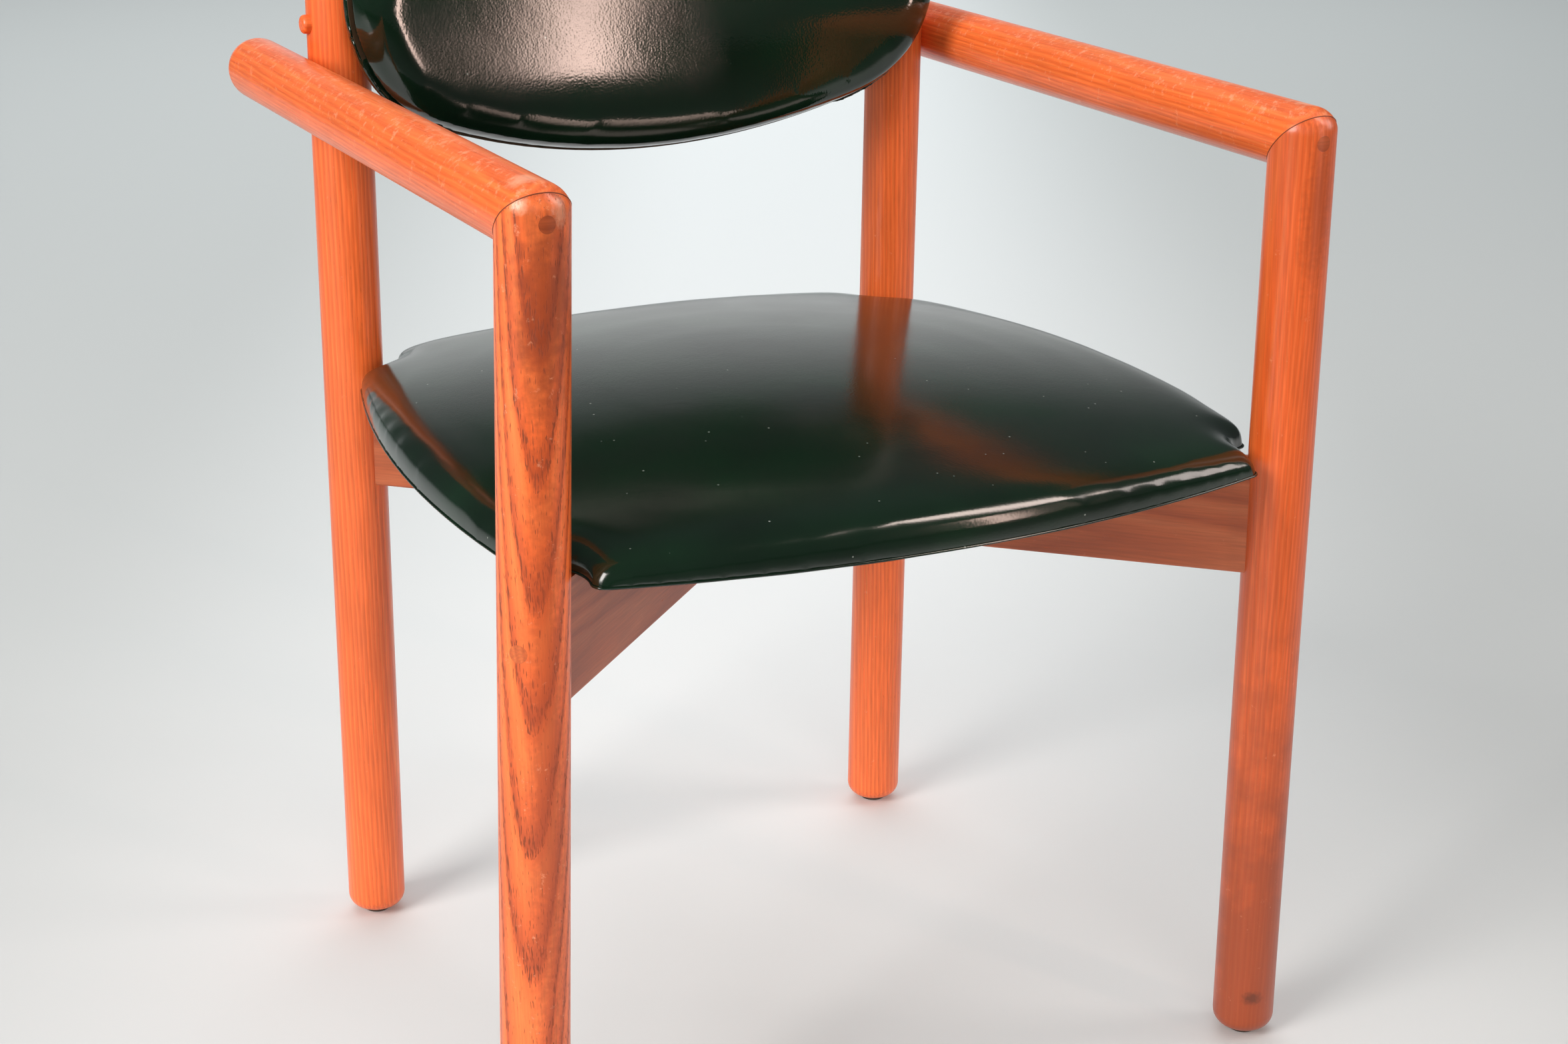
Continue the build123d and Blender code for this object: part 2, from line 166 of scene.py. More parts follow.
def bumped(
    tree: Tree, height: Socket, strength: float, depth_mm: float, sunk: bool = False, **more: Socket
) -> Socket:
    """Turns heights into the surface's direction, sunk in or raised; more gives further inputs."""
    inputs = {"Height": height, "Strength": strength, "Distance": depth_mm * MM, **more}
    return add_node(tree, "Bump", inputs, invert=sunk)


def ramped(tree: Tree, share: Socket, stops: dict[float, str]) -> Socket:
    """Turns a number into a colour along a ramp.

    Args:
        tree: The node tree.
        share: The place along the ramp.
        stops: The colour at each place, in rising order.

    Returns:
        The colour.
    """
    node = tree.nodes.new("ShaderNodeValToRGB")
    set_inputs(tree, node, {"Fac": share})
    elements = node.color_ramp.elements
    for index, (position, colour) in enumerate(stops.items()):
        stop = elements[index] if index < len(elements) else elements.new(position)
        stop.position, stop.color = position, linear(colour)
    return node.outputs["Color"]


def new_material(name: str) -> tuple[Material, Tree, bpy.types.Node]:
    """Makes an empty node material.

    Args:
        name: The material's name.

    Returns:
        The material, its node tree and its surface shader.
    """
    material = bpy.data.materials.new(name)
    material.use_nodes = True
    return material, material.node_tree, material.node_tree.nodes["Principled BSDF"]


class Grain(Enum):
    """Which way the fibres of a timber piece run."""

    UPRIGHT = "upright"
    FORE_AND_AFT = "fore and aft"
    CROSSWAYS = "crossways"
    RISING_RIGHT = "rising right"
    RISING_LEFT = "rising left"

    def turn(self, low: Vector, high: Vector) -> Euler:
        """The turn that lays the fibres along X.

        Args:
            low: Lowest corner of the piece.
            high: Highest corner of the piece.

        Returns:
            The turn as Euler angles.
        """
        slope = math.atan2(high.y - low.y, high.x - low.x)
        turns = {
            Grain.UPRIGHT: (0.0, math.pi / 2, 0.0),
            Grain.FORE_AND_AFT: (0.0, 0.0, -math.pi / 2),
            Grain.CROSSWAYS: (0.0, 0.0, 0.0),
            Grain.RISING_RIGHT: (0.0, 0.0, -slope),
            Grain.RISING_LEFT: (0.0, 0.0, slope),
        }
        return Euler(turns[self])


@dataclass(frozen=True)
class Mark:
    """A stain, wear, painted shade or painted highlight on a bar, by place and reach in
    millimetres.

    Tall stretches it upwards. Its edge is ragged in grit parts to the reach, and it fades out
    between two shares of the reach.
    """

    place: tuple[float, float, float]
    reach: float
    colour: str
    strength: float
    tall: float = 1.0
    grit: float = 3.0
    fade: Span = (0.9, 1.6)

    def lay(self, tree: Tree, place: Socket, colour: Socket) -> Socket:
        """Lays the mark over a colour.

        Args:
            tree: The material's nodes.
            place: The point's place.
            colour: The colour so far.

        Returns:
            The colour with the mark.
        """
        reach = self.reach * MM
        centre = Vector(self.place) * MM
        shift = -Vector((centre.x, centre.y, centre.z / self.tall))
        flattened = {"Vector": place, "Location": shift, "Scale": (1, 1, 1 / self.tall)}
        centred = add_node(tree, "Mapping", flattened)
        apart = add_node(tree, "VectorMath", {0: centred}, "Value", operation="LENGTH")
        ragged = noise_at(tree, place, self.reach / self.grit, Detail=4.0)
        edge = reckoned(tree, "MULTIPLY_ADD", ragged, reach, apart)
        start, end = self.fade
        mask = mapped(tree, edge, (reach * start, reach * end), (self.strength, 0.0))
        return mixed(tree, mask, colour, linear(self.colour))


@dataclass(frozen=True)
class StainedAsh:
    """Ash turned to round bars, stained orange and lacquered.

    The open pores of each year's early wood take up the stain and read as dark dashes, the late
    wood between them stays bright, and the lacquer gives a soft gloss over both.
    """

    name: str = "stained_ash"
    early: str = "#E6642B"
    late: str = "#EF6D30"
    bright: str = "#F47939"
    pore: str = "#BC5320"
    scuff: str = "#F5AE86"
    ring_mm: float = 3.2
    ring_drift: float = 0.12
    ring_wander: float = 4.0
    early_rings: Span = (0.15, 0.5)
    pore_mm: float = 0.7
    pore_length_mm: float = 8.0
    pore_level: float = 0.65
    pore_level_rise: float = 0.13
    pore_edge: float = 0.07
    pore_strength: float = 0.5
    pore_depth_mm: float = 0.2
    pore_bump: float = 0.5
    pore_dulling: float = 0.3
    fibre_mm: float = 1.2
    fibre_length_mm: float = 45.0
    patch_mm: float = 60.0
    patch_drift: float = 0.3
    tone_levels: Span = (0.75, 1.25)
    tones: Span = (0.82, 1.16)
    pith_mm: Span = (-56.0, 23.0)
    lean_deg: float = -2.0
    flake_mm: float = 7.0
    scuffs: float = 0.4
    worn_level: float = 0.64
    worn_edge: float = 0.12
    top_facing: Span = (0.1, 0.9)
    top_wear: float = 0.07
    roughness: float = 0.4
    ior: float = 1.5
    lacquer: float = 0.25
    lacquer_roughness: float = 0.16
    marks: tuple[Mark, ...] = ()

    def build(self, node: str, grain: Grain) -> Material:
        """Makes the material for one timber piece.

        Args:
            node: The CAD node, which sets where the rings lie.
            grain: Which way its fibres run.

        Returns:
            The finished material.
        """
        material, tree, surface = new_material(f"{self.name}_{node}")
        low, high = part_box(node)
        turn = grain.turn(low, high)
        turn.z += math.radians(self.lean_deg)
        pith = Vector((0.0, *self.pith_mm)) * MM - turn.to_matrix() @ ((low + high) / 2)
        place = coordinate(tree, "Object")
        along = add_node(tree, "Mapping", {"Vector": place, "Rotation": turn, "Location": pith})
        colour, pores = self._wood(tree, along)
        for mark in self.marks:
            colour = mark.lay(tree, place, colour)
        dull = self.roughness + self.pore_dulling
        looks = {
            "Base Color": self._scuffed(tree, place, colour),
            "Roughness": mapped(tree, pores, result=(self.roughness, dull)),
            "Normal": bumped(tree, pores, self.pore_bump, self.pore_depth_mm, sunk=True),
            "IOR": self.ior,
            "Coat Weight": self.lacquer,
            "Coat Roughness": self.lacquer_roughness,
        }
        set_inputs(tree, surface, looks)
        return material

    def _rings(self, tree: Tree, along: Socket) -> Socket:
        """Draws the years' growth round the pith, from early wood at nought to late wood at one.

        Args:
            tree: The material's nodes.
            along: The point, with the fibres along X.

        Returns:
            The place within its ring.
        """
        inputs = {
            "Vector": stretched(tree, along, self.ring_drift),
            "Scale": WAVE_SPACING * per_mm(self.ring_mm),
            "Distortion": self.ring_wander,
            "Detail": 2.0,
            "Detail Scale": 0.5,
        }
        kind = {"wave_type": "RINGS", "rings_direction": "X", "wave_profile": "SAW"}
        return add_node(tree, "TexWave", inputs, "Fac", **kind)

    def _wood(self, tree: Tree, along: Socket) -> tuple[Socket, Socket]:
        """Colours the rings, with fine fibres, an uneven stain and pores in the early wood.

        Args:
            tree: The material's nodes.
            along: The point, with the fibres along X.

        Returns:
            The stained colour, and where the pores are.
        """
        rings = self._rings(tree, along)
        # Real pores are about 0.3 mm wide; they are drawn coarser so that they show.
        dashes = stretched(tree, along, self.pore_mm / self.pore_length_mm)
        level = noise_at(tree, dashes, self.pore_mm, Detail=1.0)
        levels = (self.pore_level, self.pore_level + self.pore_level_rise)
        over = reckoned(tree, "SUBTRACT", level, mapped(tree, rings, self.early_rings, levels))
        pores = mapped(tree, over, (0.0, self.pore_edge), (0.0, self.pore_strength))
        year = {0.0: self.late, 0.12: self.early, 0.5: self.late, 0.8: self.bright, 1.0: self.late}
        drawn = stretched(tree, along, self.fibre_mm / self.fibre_length_mm)
        fibres = noise_at(tree, drawn, self.fibre_mm, Detail=3.0)
        slow = stretched(tree, along, self.patch_drift)
        patches = noise_at(tree, slow, self.patch_mm, Detail=3.0)
        depth = mapped(tree, reckoned(tree, "ADD", fibres, patches), self.tone_levels, self.tones)
        stain = {"Color": ramped(tree, rings, year), "Value": depth}
        toned = add_node(tree, "HueSaturation", stain)
        return mixed(tree, pores, toned, linear(self.pore)), pores

    def _scuffed(self, tree: Tree, place: Socket, colour: Socket) -> Socket:
        """Lays pale scuffs where hands and knocks have worn the stain, mostly on top.

        Args:
            tree: The material's nodes.
            place: The point's place.
            colour: The colour so far.

        Returns:
            The colour with the scuffs.
        """
        flakes = noise_at(tree, place, self.flake_mm, Detail=5.0, Roughness=0.75)
        up = add_node(tree, "SeparateXYZ", {0: coordinate(tree, "Normal")}, "Z")
        on_top = mapped(tree, up, self.top_facing, (0.0, self.top_wear))
        level = reckoned(tree, "ADD", flakes, on_top)
        worn = (self.worn_level, self.worn_level + self.worn_edge)
        mask = mapped(tree, level, worn, (0.0, self.scuffs))
        return mixed(tree, mask, colour, linear(self.scuff))


@dataclass(frozen=True)
class GreenHide:
    """Cow hide dyed very dark green, with a pigment finish that is polished by use.

    The dye reads almost black in shade, the fine pebble of the grain breaks its gloss a little, and
    dust lies on it as tiny pale specks.
    """

    name: str
    colour: str = "#0D2114"
    deep: str = "#0A190F"
    rubbed: str = "#122B1A"
    speck: str = "#A9B0A8"
    cloud_mm: float = 90.0
    dye_levels: tuple[float, float, float] = (0.32, 0.55, 0.78)
    gloss_levels: Span = (0.3, 0.7)
    gloss_swing: float = 0.03
    speck_mm: float = 16.0
    speck_edge: Span = (0.03, 0.05)
    speck_strength: float = 0.5
    pebble_mm: float = 1.5
    pebble_depth_mm: float = 0.09
    pebble_strength: float = 0.22
    crease_mm: float = 14.0
    crease_depth_mm: float = 0.35
    crease_strength: float = 0.08
    roughness: float = 0.09
    ior: float = 1.62

    def build(self) -> Material:
        """Makes the hide's material.

        Returns:
            The finished material.
        """
        material, tree, surface = new_material(self.name)
        place = coordinate(tree, "Object")
        clouds = noise_at(tree, place, self.cloud_mm, Detail=4.0)
        dyes = (self.deep, self.colour, self.rubbed)
        dye = ramped(tree, clouds, dict(zip(self.dye_levels, dyes)))
        scattered = {"Vector": place, "Scale": per_mm(self.speck_mm)}
        specks = add_node(tree, "TexVoronoi", scattered, "Distance", feature="F1")
        dust = mapped(tree, specks, self.speck_edge, (self.speck_strength, 0.0))
        polish = (self.roughness + self.gloss_swing, self.roughness - self.gloss_swing)
        looks = {
            "Base Color": mixed(tree, dust, dye, linear(self.speck)),
            "Roughness": mapped(tree, clouds, self.gloss_levels, polish),
            "Normal": self._relief(tree, place),
            "IOR": self.ior,
        }
        set_inputs(tree, surface, looks)
        return material

    def _relief(self, tree: Tree, place: Socket) -> Socket:
        """Draws the pebbled grain over soft creases.

        Args:
            tree: The material's nodes.
            place: The point's place.

        Returns:
            The surface's direction.
        """
        creases = noise_at(tree, place, self.crease_mm, Detail=4.0, Distortion=0.6)
        folds = bumped(tree, creases, self.crease_strength, self.crease_depth_mm)
        # The real pebble is about 0.8 mm; it is drawn coarser so that it shows.
        grained = {"Vector": place, "Scale": per_mm(self.pebble_mm), "Randomness": 0.95}
        pebbles = add_node(tree, "TexVoronoi", grained, "Distance", feature="SMOOTH_F1")
        strength, depth = self.pebble_strength, self.pebble_depth_mm
        return bumped(tree, pebbles, strength, depth, sunk=True, Normal=folds)


@dataclass(frozen=True)
class PlainFinish:
    """A made surface with one colour, broken by a fine even texture.

    It serves zinc-plated steel, moulded nylon, moulded glides, raw beech, bent plywood, glue and
    woven under-cloth: their colours differ little, and the texture shows as uneven gloss.
    """

    name: str
    colour: str
    other: str
    texture_mm: float
    roughness: float
    metallic: float = 0.0
    depth_mm: float = 0.05
    strength: float = 0.3
    gloss_swing: float = 0.08

    def build(self) -> Material:
        """Makes the finish's material.

        Returns:
            The finished material.
        """
        material, tree, surface = new_material(self.name)
        texture = noise_at(tree, coordinate(tree, "Object"), self.texture_mm, Detail=3.0)
        gloss = (self.roughness - self.gloss_swing, self.roughness + self.gloss_swing)
        looks = {
            "Base Color": mixed(tree, texture, linear(self.colour), linear(self.other)),
            "Roughness": mapped(tree, texture, result=gloss),
            "Normal": bumped(tree, texture, self.strength, self.depth_mm),
            "Metallic": self.metallic,
        }
        set_inputs(tree, surface, looks)
        return material


def dress(piece: Piece, material: Material) -> Piece:
    """Gives a piece one material.

    Args:
        piece: The piece.
        material: Its material.

    Returns:
        The same piece.
    """
    piece.data.materials.clear()
    piece.data.materials.append(material)
    LOG.info("%s is dressed in %s", piece.name, material.name)
    return piece


def add_piece(name: str, mesh: Mesh, body: str) -> Piece:
    """Puts a mesh into the scene as a smooth piece of the chair.

    Args:
        name: The piece's name.
        mesh: Its mesh, in place.
        body: The CAD body that carries it.

    Returns:
        The new piece.
    """
    mesh.polygons.foreach_set("use_smooth", [True] * len(mesh.polygons))
    piece = bpy.data.objects.new(name, mesh)
    bpy.context.scene.collection.objects.link(piece)
    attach(piece, body)
    LOG.info("%s rides on %s", name, body)
    return piece


def joined(node: str) -> bmesh.types.BMesh:
    """Copies a CAD node's mesh and joins up its faces.

    Args:
        node: The CAD node.

    Returns:
        The joined copy, which its user frees.
    """
    shape = bmesh.new()
    shape.from_mesh(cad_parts[node].data)
    bmesh.ops.remove_doubles(shape, verts=shape.verts, dist=WELD_MM * MM)
    return shape


def longest_loop(edges: list[bmesh.types.BMEdge]) -> list[Vector]:
    """Follows edges round into loops.

    Args:
        edges: The edges, each point between two of them.

    Returns:
        The points of the longest loop, in order.
    """
    beside: dict[bmesh.types.BMVert, list[bmesh.types.BMVert]] = {}
    for edge in edges:
        here, there = edge.verts
        beside.setdefault(here, []).append(there)
        beside.setdefault(there, []).append(here)
    loops = []
    while beside:
        here, nexts = beside.popitem()
        loop = [here]
        while (here := next((v for v in nexts if v in beside), None)) is not None:
            loop.append(here)
            nexts = beside.pop(here)
        loops.append([v.co.copy() for v in loop])
    return max(loops, key=lambda points: sum((a - b).length for a, b in zip(points, points[1:])))


def spaced(points: list[Vector], count: int) -> list[Vector]:
    """Spaces points evenly round a loop.

    Args:
        points: The loop's points.
        count: How many points are wanted.

    Returns:
        The evenly spaced points.
    """
    ring = np.array([*points, points[0]])
    walked = np.r_[0.0, np.cumsum(np.linalg.norm(np.diff(ring, axis=0), axis=1))]
    stations = np.linspace(0.0, walked[-1], count, endpoint=False)
    columns = [np.interp(stations, walked, ring[:, axis]) for axis in range(3)]
    return [Vector(point) for point in np.stack(columns, axis=1)]


def face_outline(node: str, facing: Vector, count: int) -> list[Vector]:
    """Finds the outline of a flat face of a CAD node.

    Args:
        node: The CAD node.
        facing: Which way the face looks, as a unit vector.
        count: How many points are wanted.

    Returns:
        Points spaced evenly round it.
    """
    shape = joined(node)
    flat = {f for f in shape.faces if f.normal.dot(facing) > FLAT_MATCH}
    rim = [e for e in shape.edges if len(flat.intersection(e.link_faces)) == 1]
    points = spaced(longest_loop(rim), count)
    shape.free()
    return points


def outer_skin(node: str) -> tuple[Mesh, list[Vector]]:
    """Copies the outer face of a hollow CAD node and closes its mouth.

    Args:
        node: The CAD node, a shell that is open on one side.

    Returns:
        A closed mesh, and the points of the mouth.
    """
    shell = joined(node)
    limit = math.radians(SHARP_DEG)
    pairs = [e for e in shell.edges if len(e.link_faces) == 2]
    bmesh.ops.split_edges(shell, edges=[e for e in pairs if e.calc_face_angle(0.0) > limit])
    left = set(shell.faces)
    skins: list[list[bmesh.types.BMFace]] = []
    while left:
        queue = [left.pop()]
        skin = list(queue)
        while queue:
            for edge in queue.pop().edges:
                for face in left.intersection(edge.link_faces):
                    left.remove(face)
                    skin.append(face)
                    queue.append(face)
        skins.append(skin)
    largest = set(max(skins, key=lambda faces: sum(f.calc_area() for f in faces)))
    bmesh.ops.delete(shell, geom=[f for f in shell.faces if f not in largest], context="FACES")
    mouth = [e for e in shell.edges if e.is_boundary]
    points = longest_loop(mouth)
    bmesh.ops.triangle_fill(shell, use_beauty=True, edges=mouth)
    bmesh.ops.recalc_face_normals(shell, faces=shell.faces)
    mesh = bpy.data.meshes.new(f"{node}_skin")
    shell.to_mesh(mesh)
    shell.free()
    return mesh, points


def evaluated(piece: Piece) -> Mesh:
    """Copies the piece's mesh with its modifiers applied."""
    graph = bpy.context.evaluated_depsgraph_get()
    return bpy.data.meshes.new_from_object(piece.evaluated_get(graph))


def surface_of(mesh: Mesh) -> BVHTree:
    """Makes a mesh's surface searchable."""
    corners = [p.vertices for p in mesh.polygons]
    return BVHTree.FromPolygons([v.co for v in mesh.vertices], corners)


def within(node: str, reach_mm: float) -> PointTest:
    """Makes a test of nearness to a CAD node.

    Args:
        node: The CAD node.
        reach_mm: How near a point has to be, in millimetres.

    Returns:
        A test that says whether a point is that near.
    """
    surface = surface_of(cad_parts[node].data)
    return lambda place: surface.find_nearest(place)[3] < reach_mm * MM


def places_of(mesh: Mesh) -> np.ndarray:
    """Reads the places of a mesh's points, one row for each."""
    return np.array([vertex.co for vertex in mesh.vertices], dtype=float)


def move_points(mesh: Mesh, places: np.ndarray) -> None:
    """Moves a mesh's points to new places, one row for each."""
    mesh.vertices.foreach_set("co", places.ravel())
    mesh.update()


def free_points(places: np.ndarray, held: PointTest) -> np.ndarray:
    """Says which points are not held."""
    return np.array([not held(Vector(place)) for place in places])


def eased(values: np.ndarray, mesh: Mesh, free: np.ndarray, rounds: int) -> np.ndarray:
    """Eases a value at each free point of a mesh half way to its neighbours' mean.

    Args:
        values: The value at each point.
        mesh: The mesh, which says which points are neighbours.
        free: Which points may change.
        rounds: How many times this is done.

    Returns:
        The eased values.
    """
    count = len(values)
    ends = np.empty(len(mesh.edges) * 2, dtype=np.int32)
    mesh.edges.foreach_get("vertices", ends)
    first, second = ends.reshape(-1, 2).T
    beside = np.bincount(ends, minlength=count)
    for _ in range(rounds):
        total = np.bincount(first, values[second], count)
        total = total + np.bincount(second, values[first], count)
        values = np.where(free, (values + total / beside) / 2, values)
    return values


def eased_rows(rows: np.ndarray, mesh: Mesh, free: np.ndarray, rounds: int) -> np.ndarray:
    """Eases a row of three values at each free point of a mesh."""
    columns = [eased(rows[:, axis], mesh, free, rounds) for axis in range(3)]
    return np.stack(columns, axis=1)


@dataclass(frozen=True)
class Stuffing:
    """How a cover is filled.

    Cell size and largest swell are in millimetres. Air pressure swells the cover for some frames.
    The rounds say how often its cells are evened before that and its swell after. Points nearer to
    the mouth's edge than snap cells move onto it, and points within merge cells become one.
    """

    cell_mm: float = 4.0
    swell_mm: float = 1.2
    pressure: float = 4.0
    frames: int = 14
    taut_rounds: int = 300
    even_rounds: int = 20
    rim_points: int = 3000
    snap: float = 0.62
    merge: float = 0.2

    def fill(self, mesh: Mesh, rim: list[Vector], held: PointTest) -> Mesh:
        """Fills a closed cover and lets it settle.

        Args:
            mesh: The closed cover.
            rim: The sharp edge round its mouth.
            held: Says whether a point is fastened down.

        Returns:
            The settled cover, in even cells.
        """
        cover = bpy.data.objects.new("cover", mesh)
        bpy.context.scene.collection.objects.link(cover)
        even = self._cells(cover, rim)
        places = places_of(even)
        free = free_points(places, held)
        move_points(even, eased_rows(places, even, free, self.even_rounds))
        cover.data = even
        settled = self._swell(cover, held)
        bpy.data.objects.remove(cover)
        return settled

    def _cells(self, cover: Piece, rim: list[Vector]) -> Mesh:
        """Cuts a cover into even cells that keep to its surface and its sharp edge.

        Args:
            cover: The closed cover.
            rim: The sharp edge round its mouth.

        Returns:
            The cells.
        """
        skin = surface_of(cover.data)
        grid = cover.modifiers.new("grid", "REMESH")
        grid.mode, grid.voxel_size = "VOXEL", self.cell_mm * MM
        even = evaluated(cover)
        cover.modifiers.remove(grid)
        edge = KDTree(self.rim_points)
        for index, point in enumerate(spaced(rim, self.rim_points)):
            edge.insert(point, index)
        edge.balance()
        places = places_of(even)
        for index, place in enumerate(places):
            on_skin = skin.find_nearest(Vector(place))[0]
            on_rim, _, apart = edge.find(on_skin)
            places[index] = on_rim if apart < self.snap * self.cell_mm * MM else on_skin
        move_points(even, places)
        # Cells that the snap has squashed would stop the cloth, so they are taken out.
        cells = bmesh.new()
        cells.from_mesh(even)
        weld = self.merge * self.cell_mm * MM
        bmesh.ops.dissolve_degenerate(cells, dist=weld, edges=cells.edges)
        bmesh.ops.remove_doubles(cells, verts=cells.verts, dist=weld)
        cells.to_mesh(even)
        cells.free()
        return even

    def _swell(self, cover: Piece, held: PointTest) -> Mesh:
        """Runs the cloth with air pressure, caps how far each point moves and pulls the hide taut.

        Args:
            cover: The cover in even cells.
            held: Says whether a point is fastened down.

        Returns:
            The swollen mesh.
        """
        start = places_of(cover.data)
        free = free_points(start, held)
        fast = cover.vertex_groups.new(name="fast")
        fast.add(np.flatnonzero(~free).tolist(), 1.0, "REPLACE")
        cloth = cover.modifiers.new("cloth", "CLOTH")
        cloth.settings.use_pressure = True
        cloth.settings.uniform_pressure_force = self.pressure
        cloth.settings.vertex_group_mass = fast.name
        cloth.settings.effector_weights.gravity = 0.0
        cloth.collision_settings.use_collision = False
        cloth.point_cache.frame_start, cloth.point_cache.frame_end = 1, self.frames
        for step in range(1, self.frames + 1):
            bpy.context.scene.frame_set(step)
        swollen = evaluated(cover)
        bpy.context.scene.frame_set(1)
        moves = places_of(swollen) - start
        lengths = np.linalg.norm(moves, axis=1)
        LOG.info("the cloth moves by up to %.1f mm", lengths.max() / MM)
        moves *= np.minimum(1.0, self.swell_mm * MM / np.maximum(lengths, STILL_M))[:, None]
        move_points(swollen, start + eased_rows(moves, swollen, free, self.taut_rounds))
        return swollen


def add_cover(name: str, mesh: Mesh, body: str, hide: Material) -> Piece:
    """Puts a leather cover into the scene, with one level of subdivision.

    Args:
        name: The piece's name.
        mesh: Its mesh, in place.
        body: The CAD body that carries it.
        hide: Its leather.

    Returns:
        The new piece.
    """
    piece = dress(add_piece(name, mesh, body), hide)
    rounded = piece.modifiers.new("rounded", "SUBSURF")
    rounded.levels = rounded.render_levels = 1
    return piece


def ring_tube(name: str, points: list[Vector], radius_mm: float) -> Mesh:
    """Makes a closed round cord along points.

    Args:
        name: The mesh's name.
        points: The points it runs through, in a loop.
        radius_mm: Its radius in millimetres.

    Returns:
        The mesh.
    """
    curve = bpy.data.curves.new(name, "CURVE")
    curve.dimensions = "3D"
    curve.bevel_depth, curve.bevel_resolution = radius_mm * MM, 2
    line = curve.splines.new("POLY")
    line.points.add(len(points) - 1)
    for knot, point in zip(line.points, points):
        knot.co = (*point, 1.0)
    line.use_cyclic_u = True
    shape = bpy.data.objects.new(name, curve)
    bpy.context.scene.collection.objects.link(shape)
    mesh = evaluated(shape)
    bpy.data.objects.remove(shape)
    return mesh


@dataclass(frozen=True)
class TimberFrame:
    """Legs, posts, arms and rails, their plugs and buttons, and the glue lines of the mitres."""

    body: str = "frame"
    seam_mm: float = 0.35
    seam_points: int = 160

    def finishes(self) -> dict[str, tuple[StainedAsh, Grain]]:
        """Says which timber each node is cut from, with painted shade and highlights on some.

        Returns:
            The finish and the grain for each node.
        """
        left_leg_marks = (
            # The long dark band down the middle of the leg's front is painted shade, between the
            # side lamps.
            Mark((-264.0, -249.0, 330.0), 13.0, "#A8431A", 0.6, tall=22.0),
            Mark((-260.0, -249.0, 590.0), 26.0, "#84371A", 0.75, tall=2.6),
            # The two pale spots by the mitre are wear, brightened as a painted highlight.
            Mark((-272.0, -243.0, 646.0), 6.0, "#F0B08C", 0.6),
            Mark((-250.0, -246.0, 641.0), 5.0, "#F0B08C", 0.45, tall=2.0),
        )
        right_leg_marks = (
            # The leg is drawn darker towards its foot, with a small dark spot near the floor.
            Mark((262.0, -248.0, 40.0), 60.0, "#8E3E1E", 0.75, tall=4.0),
            Mark((260.0, -248.0, 34.0), 8.0, "#6A3018", 0.9, tall=0.7),
            Mark((258.0, -250.0, 590.0), 12.0, "#A4461E", 0.6, tall=4.5),
        )
        # Pale patches at the mitre corners are wear, brightened as a painted highlight.
        worn_corners_with_painted_highlight = (
            Mark((-262.0, -226.0, 655.0), 10.0, "#F3B592", 0.5, tall=0.7),
            Mark((262.0, -226.0, 655.0), 8.0, "#F3B592", 0.4, tall=0.7),
        )
        figured = StainedAsh(
            early="#BC4D1E",
            pore="#74330F",
            ring_mm=5.5,
            pore_level=0.535,
            pore_strength=0.85,
            lean_deg=-4.5,
            scuffs=0.7,
            worn_level=0.62,
            marks=left_leg_marks,
        )
        deeper = StainedAsh(
            early="#D45921",
            late="#DA5E26",
            bright="#E06930",
            pore_level=0.67,
            pith_mm=(24.0, 66.0),
            marks=right_leg_marks,
        )
        arm = StainedAsh(
            pith_mm=(12.0, 70.0), flake_mm=6.0, scuffs=0.45, worn_level=0.59, marks=worn_corners_with_painted_highlight
        )
        # The rails take a darker, browner copy of the ash, as painted shade under the seat.
        rail_in_painted_shade = StainedAsh(
            early="#A04A24", late="#B0562C", bright="#B86036", ring_mm=6.0, scuffs=0.2
        )
        plug = StainedAsh("plug_ash", early="#98421D", late="#A44A22", bright="#AC5027", scuffs=0.5)
        dull = StainedAsh("plug_ash", early="#BE5828", late="#C8602B", bright="#CE6933", scuffs=0.5)
        return {
            "front_leg_left": (figured, Grain.UPRIGHT),
            "front_leg_right": (deeper, Grain.UPRIGHT),
            "rear_post_left": (StainedAsh(pith_mm=(40.0, 60.0)), Grain.UPRIGHT),
            "rear_post_right": (StainedAsh(pith_mm=(-30.0, -70.0)), Grain.UPRIGHT),
            "armrest_left": (arm, Grain.FORE_AND_AFT),
            "armrest_right": (arm, Grain.FORE_AND_AFT),
            "cross_rail_lower": (rail_in_painted_shade, Grain.RISING_RIGHT),
            "cross_rail_upper": (rail_in_painted_shade, Grain.RISING_LEFT),
            "rail_plugs": (dull, Grain.CROSSWAYS),
            "mitre_plugs": (plug, Grain.CROSSWAYS),
            "arm_plugs": (plug, Grain.UPRIGHT),
            "pivot_buttons": (StainedAsh("button_ash", ring_mm=3.0), Grain.CROSSWAYS),
        }

    def build(self) -> None:
        """Dresses the timber and draws the glue lines of the mitres."""
        for node, (finish, grain) in self.finishes().items():
            dress(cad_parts[node], finish.build(node, grain))
        glue = PlainFinish("glue_line", "#5B2A14", "#8A4320", texture_mm=6.0, roughness=0.6).build()
        for side in ("left", "right"):
            self._seam(side, glue)

    def _seam(self, side: str, glue: Material) -> None:
        """Lays the thin glue line where an arm is mitred to its leg.

        Args:
            side: Which arm it is.
            glue: The glue line's material.
        """
        facing = Vector((0.0, 1.0, 1.0)).normalized()
        points = face_outline(f"front_leg_{side}", facing, self.seam_points)
        name = f"mitre_seam_{side}"
        dress(add_piece(name, ring_tube(name, points, self.seam_mm), self.body), glue)


